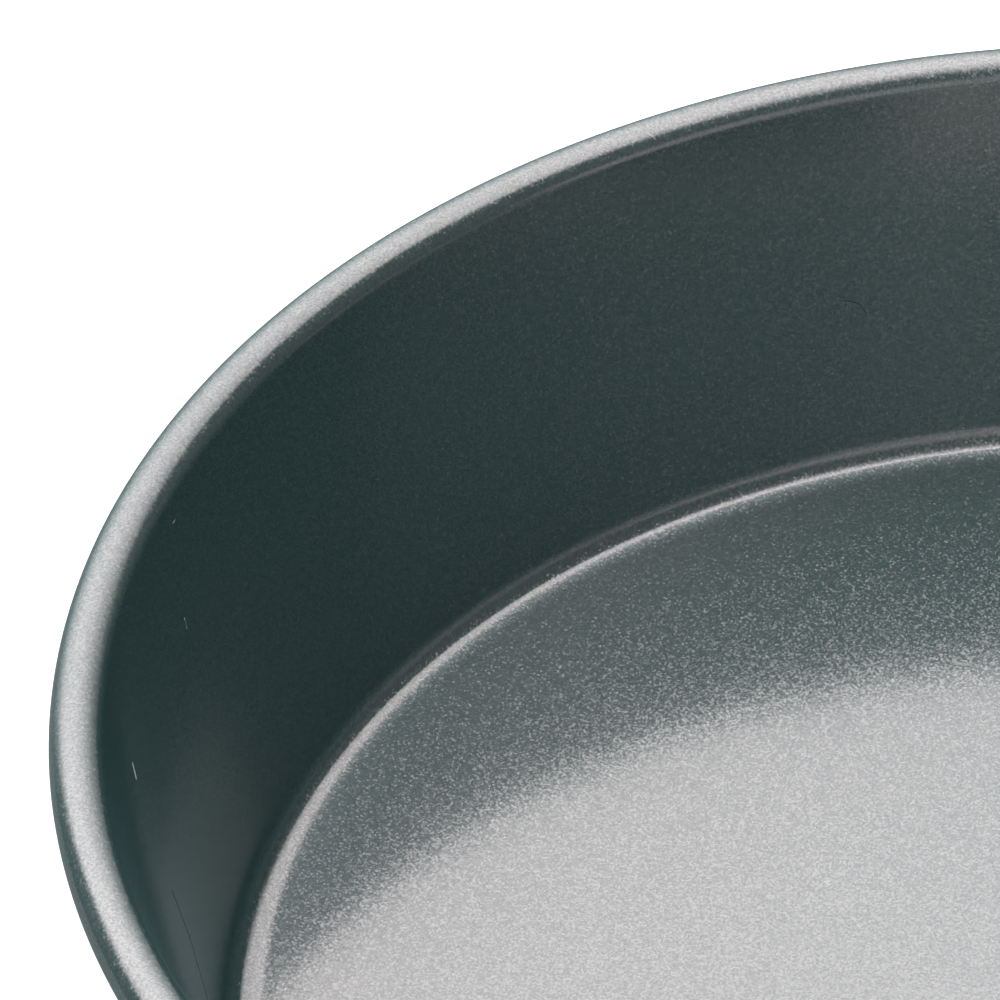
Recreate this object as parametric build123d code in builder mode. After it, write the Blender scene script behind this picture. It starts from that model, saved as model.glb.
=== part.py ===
from build123d import *
import math
import os

# Round cake tin: one sheet of steel drawn into a flared pan, its edge rolled round a wire.
# Millimetres, +Z up, origin under the middle of the base.

# Sheet and pan
mouth_diameter = 228.6
depth = 49.2
wall_draft = 13.2
sheet_thickness = 0.8

# Inside corner: the base lifts gently, bends tightly, then eases into the wall
base_ease_radius = 8
base_ease_bend = 16
corner_radius = 1.6
corner_bend = 20
wall_ease_radius = 3.75

# Rolled rim
wire_diameter = 4.5
wire_clearance = 0.1
curl_edge_gap = 0.3
wire_butt_gap = 0.8

# The rim is a tube of sheet round the wire, and the wall's inner face runs smoothly into it
curl_inner_radius = wire_diameter / 2 + wire_clearance
curl_outer_radius = curl_inner_radius + sheet_thickness
draft_sine = math.sin(math.radians(wall_draft))
draft_cosine = math.cos(math.radians(wall_draft))
curl_centre_radius = mouth_diameter / 2 + curl_outer_radius * draft_cosine
curl_centre_height = sheet_thickness + depth - curl_outer_radius
curl_centre = (curl_centre_radius, curl_centre_height)

# The cut edge comes round under the rim and stops just short of the wall's outer face
curl_wrap = 360 - math.degrees(math.acos((curl_inner_radius - curl_edge_gap) / curl_outer_radius))
wall_bearing = 180 - wall_draft

# The corner's arcs are placed from the wall inwards, each running smoothly into the next
wall_ease_bend = 90 - wall_draft - base_ease_bend - corner_bend
ease_sine = math.sin(math.radians(base_ease_bend))
ease_cosine = math.cos(math.radians(base_ease_bend))
turn_sine = math.sin(math.radians(base_ease_bend + corner_bend))
turn_cosine = math.cos(math.radians(base_ease_bend + corner_bend))
wall_top_height = curl_centre_height + curl_outer_radius * draft_sine
base_ease_height = sheet_thickness + base_ease_radius
corner_height = base_ease_height + (corner_radius - base_ease_radius) * ease_cosine
wall_ease_height = corner_height + (wall_ease_radius - corner_radius) * turn_cosine
wall_reach = (draft_sine * (wall_top_height - wall_ease_height) + wall_ease_radius) / draft_cosine
wall_ease_centre_radius = mouth_diameter / 2 - wall_reach
corner_centre_radius = wall_ease_centre_radius + (wall_ease_radius - corner_radius) * turn_sine
base_ease_centre_radius = corner_centre_radius + (corner_radius - base_ease_radius) * ease_sine
wall_ease_start = 270 + base_ease_bend + corner_bend
corner_arcs = (
    ((base_ease_centre_radius, base_ease_height), base_ease_radius, 270, base_ease_bend),
    ((corner_centre_radius, corner_height), corner_radius, 270 + base_ease_bend, corner_bend),
    ((wall_ease_centre_radius, wall_ease_height), wall_ease_radius, wall_ease_start, wall_ease_bend),
)

os.makedirs("parts", exist_ok=True)

# Pan: base, corner, flared wall and curled rim as one bent sheet, turned about the upright axis
with BuildPart() as pan_shell:
    with BuildSketch(Plane.XZ):
        with BuildLine():
            inside_arcs = [CenterArc(c, r, a, bend) for c, r, a, bend in corner_arcs]
            outside_arcs = [CenterArc(c, r + sheet_thickness, a, bend) for c, r, a, bend in corner_arcs]
            curl_outside = CenterArc(curl_centre, curl_outer_radius, wall_bearing, -curl_wrap)
            curl_inside = CenterArc(curl_centre, curl_inner_radius, wall_bearing, -curl_wrap)
            Line((0, sheet_thickness), inside_arcs[0] @ 0)
            Line(inside_arcs[-1] @ 1, curl_outside @ 0)
            Line(curl_outside @ 1, curl_inside @ 1)
            Line(curl_inside @ 0, outside_arcs[-1] @ 1)
            Line(outside_arcs[0] @ 0, (0, 0))
            Line((0, 0), (0, sheet_thickness))
        make_face()
    revolve(axis=Axis.Z)
pan_shell.part.label = "pan_shell"
export_step(pan_shell.part, "parts/pan_shell.step")

# Wire: a straight length bent to a ring, its two ends a hair apart behind the tin
butt_angle = math.degrees(wire_butt_gap / curl_centre_radius)
with BuildPart() as rim_wire:
    with BuildSketch(Plane.XZ.rotated((0, 0, 90 + butt_angle / 2))):
        with Locations(curl_centre):
            Circle(wire_diameter / 2)
    revolve(axis=Axis.Z, revolution_arc=360 - butt_angle)
rim_wire.part.label = "rim_wire"
export_step(rim_wire.part, "parts/rim_wire.step")
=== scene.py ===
import bmesh
import bpy
import math
from mathutils import Matrix
from mathutils import Vector


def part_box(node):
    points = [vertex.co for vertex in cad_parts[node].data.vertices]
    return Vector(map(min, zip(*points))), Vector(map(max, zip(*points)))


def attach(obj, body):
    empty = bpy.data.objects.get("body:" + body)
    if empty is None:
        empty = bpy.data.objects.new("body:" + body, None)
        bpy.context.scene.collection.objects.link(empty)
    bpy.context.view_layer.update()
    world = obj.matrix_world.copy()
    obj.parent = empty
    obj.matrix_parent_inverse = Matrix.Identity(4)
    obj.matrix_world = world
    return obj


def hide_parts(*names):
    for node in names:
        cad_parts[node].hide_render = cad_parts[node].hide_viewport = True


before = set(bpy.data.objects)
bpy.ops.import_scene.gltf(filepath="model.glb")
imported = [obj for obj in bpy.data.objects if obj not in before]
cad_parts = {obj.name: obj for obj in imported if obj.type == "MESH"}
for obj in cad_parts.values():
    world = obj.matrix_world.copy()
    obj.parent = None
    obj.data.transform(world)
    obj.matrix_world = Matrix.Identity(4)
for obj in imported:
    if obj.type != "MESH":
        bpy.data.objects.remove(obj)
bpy.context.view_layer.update()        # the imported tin: pan_shell and rim_wire, in metres
print("loaded the frame")

mm = 0.001


def newMaterial(name):
    material = bpy.data.materials.new(name)
    material.use_nodes = True
    return material, material.node_tree


def feed(tree, socket, value):
    # the value is another socket, a number, a vector or an RGB triple
    if isinstance(value, bpy.types.NodeSocket):
        tree.links.new(value, socket)
    elif socket.type == "RGBA":
        socket.default_value = (*value, 1)
    else:
        socket.default_value = value


def addNode(tree, kind, feeds={}, **settings):
    # feeds gives what goes into some of its inputs, by their names or numbers
    node = tree.nodes.new(kind)
    for key, value in settings.items():
        setattr(node, key, value)
    for key, value in feeds.items():
        feed(tree, node.inputs[key], value)
    return node


def addMath(tree, operation, *values, clamp=False):
    node = addNode(tree, "ShaderNodeMath", dict(enumerate(values)), operation=operation, use_clamp=clamp)
    return node.outputs[0]


def addVector(tree, operation, *values):
    node = addNode(tree, "ShaderNodeVectorMath", dict(enumerate(values)), operation=operation)
    return node.outputs["Value" if operation in ("LENGTH", "DISTANCE", "DOT_PRODUCT") else "Vector"]


def addScale(tree, vector, scale):
    node = addNode(tree, "ShaderNodeVectorMath", {0: vector, "Scale": scale}, operation="SCALE")
    return node.outputs["Vector"]


def addMix(tree, share, first, second):
    # blends two colours
    return addNode(tree, "ShaderNodeMix", {0: share, 6: first, 7: second}, data_type="RGBA").outputs[2]


def addFade(tree, value, edge):
    # rises smoothly from 0 at the edge's first value to 1 at its second
    rising = edge[1] > edge[0]
    feeds = {
        "Value": value,
        "From Min": min(edge),
        "From Max": max(edge),
        "To Min": 0 if rising else 1,
        "To Max": 1 if rising else 0,
    }
    return addNode(tree, "ShaderNodeMapRange", feeds, interpolation_type="SMOOTHSTEP").outputs[0]


def addNoise(tree, place, size, detail=0):
    # smooth noise with lumps of about this size
    return addNode(tree, "ShaderNodeTexNoise", {"Vector": place, "Scale": 1 / size, "Detail": detail})


# The pan: one bent sheet, as a turned profile

pan = {
    "sheet": 0.8 * mm,
    "wallDraft": 13.2,          # degrees
    "corner": ((8 * mm, 16), (1.6 * mm, 20), (3.75 * mm, 40.8)),    # arcs from the base up: radius, bend
    "wire": 4.5 * mm,
    "wireClearance": 0.1 * mm,
    "curlEdgeGap": 0.3 * mm,
    "columns": 480,             # round the tin
    "arcStep": 4.5,             # degrees along each bend
    "baseRing": 8 * mm,         # spacing of rings on the base and the wall
    "supportRing": 0.35 * mm,   # a ring this close to each bend keeps the flats flat
    "sharpAngle": 40,           # degrees; edges that turn more stay sharp
}


def arcPoints(centre, radius, start, sweep, step):
    count = max(2, math.ceil(abs(sweep) / step))
    angles = [math.radians(start + sweep * i / count) for i in range(count + 1)]
    return [(centre[0] + radius * math.cos(a), centre[1] + radius * math.sin(a)) for a in angles]


def straightPoints(start, end, spacing, support):
    # points between start and end, without the ends, with one close to each end
    length = math.dist(start, end)
    count = max(1, round(length / spacing))
    places = [support] + [length * i / count for i in range(1, count)] + [length - support]
    return [tuple(a + (b - a) * d / length for a, b in zip(start, end)) for d in places]


def cornerPoints(arcs, sheet, wallTop, draft, step):
    # the corner's inner face from the base up, and its outer face back down; each arc runs on from the last
    place = Vector((0, sheet))
    turned = 0
    inner = []
    outer = []
    for radius, bend in arcs:
        start = math.radians(turned)
        centre = place + radius * Vector((-math.sin(start), math.cos(start)))
        shared = 1 if inner else 0      # a later arc starts on the end of the last
        inner += arcPoints(centre, radius, 270 + turned, bend, step)[shared:]
        outer += arcPoints(centre, radius + sheet, 270 + turned, bend, step)[shared:]
        place = Vector(inner[-1])
        turned += bend
    shift = wallTop[0] - (wallTop[1] - place.y) * math.tan(math.radians(draft)) - place.x
    inner, outer = [[(x + shift, z) for x, z in side] for side in (inner, outer)]
    return inner, outer[::-1]


def panProfile(shape, outerRadius, height):
    # the section as (radius, height) points, from the middle of the inside round to the underside's middle
    sheet = shape["sheet"]
    draft = shape["wallDraft"]
    sine = math.sin(math.radians(draft))
    cosine = math.cos(math.radians(draft))
    curlInner = shape["wire"] / 2 + shape["wireClearance"]
    curlOuter = curlInner + sheet
    curlCentre = (outerRadius - curlOuter, height - curlOuter)
    wrap = 360 - math.degrees(math.acos((curlInner - shape["curlEdgeGap"]) / curlOuter))
    bearing = 180 - draft
    wallTop = (curlCentre[0] - curlOuter * cosine, curlCentre[1] + curlOuter * sine)
    step = shape["arcStep"]
    inCorner, outCorner = cornerPoints(shape["corner"], sheet, wallTop, draft, step)
    curlOut = arcPoints(curlCentre, curlOuter, bearing, -wrap, step)
    curlIn = arcPoints(curlCentre, curlInner, bearing - wrap, wrap, 2 * step)      # out of sight, so coarser
    run = (shape["baseRing"], shape["supportRing"])
    points = [(0, sheet)]
    points += straightPoints((0, sheet), inCorner[0], *run) + inCorner
    points += straightPoints(inCorner[-1], curlOut[0], *run) + curlOut + curlIn
    points += straightPoints(curlIn[-1], outCorner[0], *run) + outCorner
    points += straightPoints(outCorner[-1], (0, 0), *run)
    points += [(0, 0)]
    return points


def turnProfile(name, points, columns, sharpAngle):
    # a lathe: every point off the axis becomes a ring, and the two on it close the ends
    mesh = bmesh.new()
    rings = []
    for radius, height in points:
        if radius == 0:
            rings.append([mesh.verts.new((0, 0, height))])
            continue
        turns = [2 * math.pi * i / columns for i in range(columns)]
        rings.append([mesh.verts.new((radius * math.sin(a), radius * math.cos(a), height)) for a in turns])
    for lower, upper in zip(rings, rings[1:]):
        for i in range(columns):
            j = (i + 1) % columns
            if len(lower) == 1:
                mesh.faces.new((lower[0], upper[j], upper[i]))
            elif len(upper) == 1:
                mesh.faces.new((lower[i], lower[j], upper[0]))
            else:
                mesh.faces.new((lower[i], lower[j], upper[j], upper[i]))
    bmesh.ops.recalc_face_normals(mesh, faces=mesh.faces)
    data = bpy.data.meshes.new(name)
    mesh.to_mesh(data)
    mesh.free()
    data.polygons.foreach_set("use_smooth", [True] * len(data.polygons))
    data.set_sharp_from_angle(angle=math.radians(sharpAngle))
    piece = bpy.data.objects.new(name, data)
    bpy.context.scene.collection.objects.link(piece)
    return piece


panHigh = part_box("pan_shell")[1]        # the CAD tin's outer radius and height
panPoints = panProfile(pan, panHigh.x, panHigh.z)
panPiece = turnProfile("pan", panPoints, pan["columns"], pan["sharpAngle"])
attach(panPiece, "root")
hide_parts("pan_shell")
print("made the pan:", len(panPiece.data.vertices), "vertices")

# The coating: a satin metallic film over dark pigment, with fine flakes in it that lean every way

coating = {
    "filmColour": (0.228, 0.211, 0.213),
    "filmSpread": 0.16,         # how much the film's colour changes from grain to grain
    "filmEdge": (0.62, 0.72, 0.73),     # tints the film and flakes where they are seen edge on
    "filmRoughness": 0.14,
    "filmTilt": 0.02,           # how far the grain leans the film, as a slope
    "pigmentColour": (0.086, 0.192, 0.192),
    "pigmentSpread": 0.3,       # how much it changes from grain to grain
    "pigmentShare": 0.25,
    "flakeColour": (0.215, 0.199, 0.202),
    "flakeRoughness": 0.24,
    "flakeTilt": 0.40,          # how far the flakes lean, as a slope
    "flakeShare": 0.20,         # of the surface
    "shareSpread": 0.32,        # how much that changes over the grain
    "grainSize": 0.23 * mm,
    "peelSize": 0.9 * mm,       # the film's fine ripple
    "peelHeight": 0.004 * mm,
    "peelDetail": 2,
    "baseDish": 0.038,          # the drawn base's faint dish: its slope at the corner
    "baseRadius": 100 * mm,
    "dishFade": (4 * mm, 1 * mm),       # heights where the dish starts and is full, going down the corner
}

# Marks of use on the wall: each kind's colour and its lines.
# A line is its width and then its places, each the turn from the back in degrees and the height.

scratches = {
    "light": ((0.75, 0.74, 0.72), (
        (0.26 * mm, (-93.2, 37.9 * mm), (-93.6, 36.6 * mm)),
        (0.07 * mm, (-78.5, 35.8 * mm), (-78.6, 34.5 * mm)),
        (0.06 * mm, (-76.1, 45.5 * mm), (-75.2, 45.4 * mm)),
    )),
    "dark": ((0.02, 0.03, 0.03), (
        (0.14 * mm, (-20.1, 22.7 * mm), (-19.1, 22.0 * mm), (-18.6, 20.6 * mm)),
        (0.3 * mm, (-95.5, 23 * mm), (-95.8, 16.2 * mm), (-97.5, 9.6 * mm)),
    )),
    "roughness": 0.5,
    "core": 0.3,                # the share of a line's width that doesn't fade
    "waver": 0.25 * mm,         # how far a line strays
    "waverSize": 1.5 * mm,
}

middleGrey = (0.5, 0.5, 0.5)


def addTilt(tree, normal, lean):
    # leans a normal by a small vector
    return addVector(tree, "NORMALIZE", addVector(tree, "ADD", normal, lean))


def addLean(tree, normal, colour, slope):
    # leans a normal by a colour, taken from its middle grey
    return addTilt(tree, normal, addScale(tree, addVector(tree, "SUBTRACT", colour, middleGrey), slope))


def addDish(tree, normal, place, look):
    # leans the base's normal a little towards the middle, by a slope that grows as the radius squared
    share = 1 / look["baseRadius"]
    inwards = addVector(tree, "MULTIPLY", place, (-share, -share, 0))
    steepness = addMath(tree, "MULTIPLY", addVector(tree, "LENGTH", inwards), look["baseDish"])
    height = addNode(tree, "ShaderNodeSeparateXYZ", {0: place}).outputs["Z"]
    steepness = addMath(tree, "MULTIPLY", steepness, addFade(tree, height, look["dishFade"]))
    return addTilt(tree, normal, addScale(tree, inwards, steepness))


def addMetal(tree, colour, roughness, normal, edge):
    # a metallic finish; edge tints it where it is seen edge on
    feeds = {
        "Base Color": colour,
        "Roughness": roughness,
        "Metallic": 1,
        "Specular Tint": edge,
        "Normal": normal,
    }
    return addNode(tree, "ShaderNodeBsdfPrincipled", feeds).outputs[0]


def addSpread(tree, colour, spread, share):
    # the colour, made darker or lighter by up to the spread as the share goes from 0 to 1
    darker, lighter = [tuple(c * tone for c in colour) for tone in (1 - spread, 1 + spread)]
    return addMix(tree, share, darker, lighter)


def blendShaders(tree, share, first, second):
    return addNode(tree, "ShaderNodeMixShader", {0: share, 1: first, 2: second}).outputs[0]


def wallPlace(turn, height):
    # a place on the inner wall, in metres
    turn = math.radians(turn)
    draft = math.radians(pan["wallDraft"])
    curl = pan["wire"] / 2 + pan["wireClearance"] + pan["sheet"]
    drop = panHigh.z - curl * (1 - math.sin(draft)) - height
    radius = panHigh.x - curl * (1 + math.cos(draft)) - drop * math.tan(draft)
    return Vector((radius * math.sin(turn), radius * math.cos(turn), height))


def addLine(tree, place, start, end, width, core):
    # 1 on the line from start to end, and 0 from this width away from it
    run = end - start
    offset = addVector(tree, "SUBTRACT", place, start)
    along = addVector(tree, "DOT_PRODUCT", offset, run / run.length_squared)
    along = addMath(tree, "ADD", along, 0, clamp=True)      # stops at the line's two ends
    gap = addVector(tree, "DISTANCE", offset, addScale(tree, run, along))
    return addFade(tree, gap, (width, core * width))


def addScratches(tree, place, ground, look):
    # lays each kind of scratch over the coating as a dull shader
    noise = addNoise(tree, place, look["waverSize"]).outputs["Color"]
    strayed = addVector(tree, "MULTIPLY_ADD", noise, (look["waver"],) * 3, place)
    centre = Vector(middleGrey) * look["waver"]     # how far the noise moves a place on average
    for kind in ("light", "dark"):
        colour, lines = look[kind]
        share = None
        for width, *stops in lines:
            stops = [wallPlace(*stop) + centre for stop in stops]
            for start, end in zip(stops, stops[1:]):
                line = addLine(tree, strayed, start, end, width, look["core"])
                share = line if share is None else addMath(tree, "MAXIMUM", share, line)
        feeds = {"Base Color": colour, "Roughness": look["roughness"]}
        mark = addNode(tree, "ShaderNodeBsdfPrincipled", feeds).outputs[0]
        ground = blendShaders(tree, share, ground, mark)
    return ground


def makeCoating(look):
    material, tree = newMaterial("coating")
    tree.nodes.remove(tree.nodes["Principled BSDF"])
    place = addNode(tree, "ShaderNodeTexCoord").outputs["Object"]
    ripple = addNoise(tree, place, look["peelSize"], look["peelDetail"]).outputs[0]
    peel = addNode(tree, "ShaderNodeBump", {"Distance": look["peelHeight"], "Height": ripple}).outputs[0]
    surface = addDish(tree, peel, place, look)
    cells = addNode(tree, "ShaderNodeTexVoronoi", {"Vector": place, "Scale": 1 / look["grainSize"]})
    grain = cells.outputs["Color"]
    chance = addNode(tree, "ShaderNodeTexWhiteNoise", {"Vector": cells.outputs["Position"]})
    density = chance.outputs["Value"]

    filmNormal = addLean(tree, surface, grain, look["filmTilt"])
    filmColour = addSpread(tree, look["filmColour"], look["filmSpread"], density)
    film = addMetal(tree, filmColour, look["filmRoughness"], filmNormal, look["filmEdge"])
    pigmentColour = addSpread(tree, look["pigmentColour"], look["pigmentSpread"], density)
    pigment = addNode(tree, "ShaderNodeBsdfDiffuse", {"Color": pigmentColour, "Normal": surface}).outputs[0]
    flakeNormal = addLean(tree, surface, grain, look["flakeTilt"])
    flakes = addMetal(tree, look["flakeColour"], look["flakeRoughness"], flakeNormal, look["filmEdge"])

    spread = look["shareSpread"]
    share = addMath(tree, "MULTIPLY_ADD", density, spread, look["flakeShare"] - spread / 2, clamp=True)
    coat = blendShaders(tree, share, blendShaders(tree, look["pigmentShare"], film, pigment), flakes)
    feed(tree, tree.nodes["Material Output"].inputs["Surface"], addScratches(tree, place, coat, scratches))
    return material


panPiece.data.materials.append(makeCoating(coating))
print("coated the pan")

# The wire inside the rim: bare drawn steel, dull and finely scored along its length

wire = {
    "colour": (0.42, 0.41, 0.40),
    "roughness": 0.42,
    "scoreSize": 0.08 * mm,
    "scoreDetail": 2,
    "scoreSpread": 0.3,         # how much the scoring changes the roughness
}


def makeWireSteel(look):
    material, tree = newMaterial("drawn_wire")
    place = addNode(tree, "ShaderNodeTexCoord").outputs["Object"]
    score = addNoise(tree, place, look["scoreSize"], look["scoreDetail"]).outputs[0]
    spread = look["scoreSpread"]
    roughness = addMath(tree, "MULTIPLY_ADD", score, spread, look["roughness"] - spread / 2)
    shader = tree.nodes["Principled BSDF"]
    feed(tree, shader.inputs["Roughness"], roughness)
    feed(tree, shader.inputs["Base Color"], look["colour"])
    feed(tree, shader.inputs["Metallic"], 1)
    return material


wireSteel = makeWireSteel(wire)
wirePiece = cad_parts["rim_wire"]
if not wirePiece.material_slots:
    wirePiece.data.materials.append(wireSteel)
for slot in wirePiece.material_slots:
    slot.material = wireSteel
print("finished the wire")

# The floor: plain and pale, white to the camera where nothing shades it

floor = {
    "radius": 0.30,
    "edges": 128,
    "seen": 0.95,               # its tone to the camera
    "reflected": 0.25,          # and in reflections and bounced light
}


def makeFloor(look):
    bpy.ops.mesh.primitive_circle_add(vertices=look["edges"], radius=look["radius"], fill_type="NGON")
    piece = bpy.context.object
    piece.name = "floor"
    material, tree = newMaterial("pale_floor")
    seen = addNode(tree, "ShaderNodeLightPath").outputs["Is Camera Ray"]
    reflectedTone, seenTone = [(look[key],) * 3 for key in ("reflected", "seen")]
    shader = tree.nodes["Principled BSDF"]
    feed(tree, shader.inputs["Base Color"], addMix(tree, seen, reflectedTone, seenTone))
    feed(tree, shader.inputs["Roughness"], 1)
    feed(tree, shader.inputs["Specular IOR Level"], 0)
    piece.data.materials.append(material)


makeFloor(floor)
print("laid the floor")

# The light: a broad soft glow ahead, a second behind to the left, a faint strip low behind and a dim room.
# Each edge is a pair of angles in degrees: where the glow starts to fade in, and where it is full.
# side is the angle to the right of the middle plane, rise the angle up from ahead, over the top to behind.

light = {
    "dim": 0.17,
    "ahead": {
        "level": 3.53,
        "side": ((-54, -38), (48, 38)),
        "rise": ((-35, 47), (126, 74)),
        "cuts": ((-31, 77, -24), (28, 60, 44)),     # slanting edges: turn from the side axis, start, full
    },
    "behind": {
        "level": 2.5,
        "side": ((-67, -52), (5, 0)),
        "rise": ((40, 50), (197, 104)),
        "cuts": (),
    },
    "low": {
        "level": 0.52,
        "side": ((-50, -30), (72, 58)),
        "rise": ((140, 158), (180, 170)),
        "cuts": (),
    },
    "pivot": 50,                # the rise that slanting edges turn about
}


def addGlow(tree, side, rise, look, pivot):
    # 1 inside every edge, fading to 0 outside
    fades = [addFade(tree, side, edge) for edge in look["side"]]
    fades += [addFade(tree, rise, edge) for edge in look["rise"]]
    for turn, start, full in look["cuts"]:
        turn = math.radians(turn)
        raised = addMath(tree, "MULTIPLY", addMath(tree, "SUBTRACT", rise, pivot), math.sin(turn))
        across = addMath(tree, "MULTIPLY_ADD", side, math.cos(turn), raised)
        fades.append(addFade(tree, across, (start, full)))
    glow = fades[0]
    for fade in fades[1:]:
        glow = addMath(tree, "MULTIPLY", glow, fade)
    return glow


def makeLight(look):
    world = bpy.data.worlds.new("studio")
    bpy.context.scene.world = world
    world.use_nodes = True
    tree = world.node_tree
    towards = addNode(tree, "ShaderNodeTexCoord").outputs["Generated"]
    x, y, z = addNode(tree, "ShaderNodeSeparateXYZ", {0: towards}).outputs
    side = addMath(tree, "DEGREES", addMath(tree, "ARCSINE", x))
    # turned by a right angle so that the join in the angle falls straight down
    rise = addMath(tree, "DEGREES", addMath(tree, "ARCTAN2", addMath(tree, "MULTIPLY", y, -1), z))
    rise = addMath(tree, "ADD", rise, 90)

    glows = [addGlow(tree, side, rise, look[key], look["pivot"]) for key in ("ahead", "behind", "low")]
    ahead, behind, low = glows
    rest = addMath(tree, "MULTIPLY", behind, addMath(tree, "SUBTRACT", 1, ahead))
    level = addMath(tree, "MULTIPLY_ADD", ahead, look["ahead"]["level"], look["dim"])
    level = addMath(tree, "MULTIPLY_ADD", rest, look["behind"]["level"], level)
    level = addMath(tree, "MULTIPLY_ADD", low, look["low"]["level"], level)
    seen = addNode(tree, "ShaderNodeLightPath").outputs["Is Camera Ray"]
    strength = addNode(tree, "ShaderNodeMix", {0: seen, 2: level, 3: 1}, data_type="FLOAT").outputs[0]
    background = tree.nodes["Background"]
    feed(tree, background.inputs["Strength"], strength)
    feed(tree, background.inputs["Color"], (1, 1, 1))


makeLight(light)
print("lit the scene")

# The camera looks down at the middle of the rim from the front, then turns aside to frame the tin's far left

camera = {
    "distance": 843.6 * mm,     # from the middle of the rim's tube
    "elevation": 39.623,        # degrees, as are the next three
    "turnLeft": 4.826,
    "tiltUp": 1.293,
    "roll": 0.908,
    "lens": 274.9,              # millimetres, as is the sensor
    "sensor": 36,
    "rimHeight": 46.85 * mm,
    "clip": (0.05, 20),         # metres
}


def turnPair(first, second, angle):
    # turns two square directions in their own plane, the first towards the second
    angle = math.radians(angle)
    sine = math.sin(angle)
    cosine = math.cos(angle)
    return first * cosine + second * sine, second * cosine - first * sine


def makeCamera(look):
    right = Vector((1, 0, 0))
    ahead, up = turnPair(Vector((0, 1, 0)), Vector((0, 0, 1)), -look["elevation"])
    place = Vector((0, 0, look["rimHeight"])) - ahead * look["distance"]
    ahead, right = turnPair(ahead, right, -look["turnLeft"])
    ahead, up = turnPair(ahead, up, look["tiltUp"])
    right, up = turnPair(right, up, look["roll"])
    data = bpy.data.cameras.new("camera")
    data.lens = look["lens"]
    data.sensor_width = look["sensor"]
    data.clip_start, data.clip_end = look["clip"]
    piece = bpy.data.objects.new("camera", data)
    bpy.context.scene.collection.objects.link(piece)
    piece.matrix_world = Matrix.Translation(place) @ Matrix((right, up, -ahead)).transposed().to_4x4()
    bpy.context.scene.camera = piece


makeCamera(camera)
bpy.context.scene.view_settings.view_transform = "Standard"
print("placed the camera")
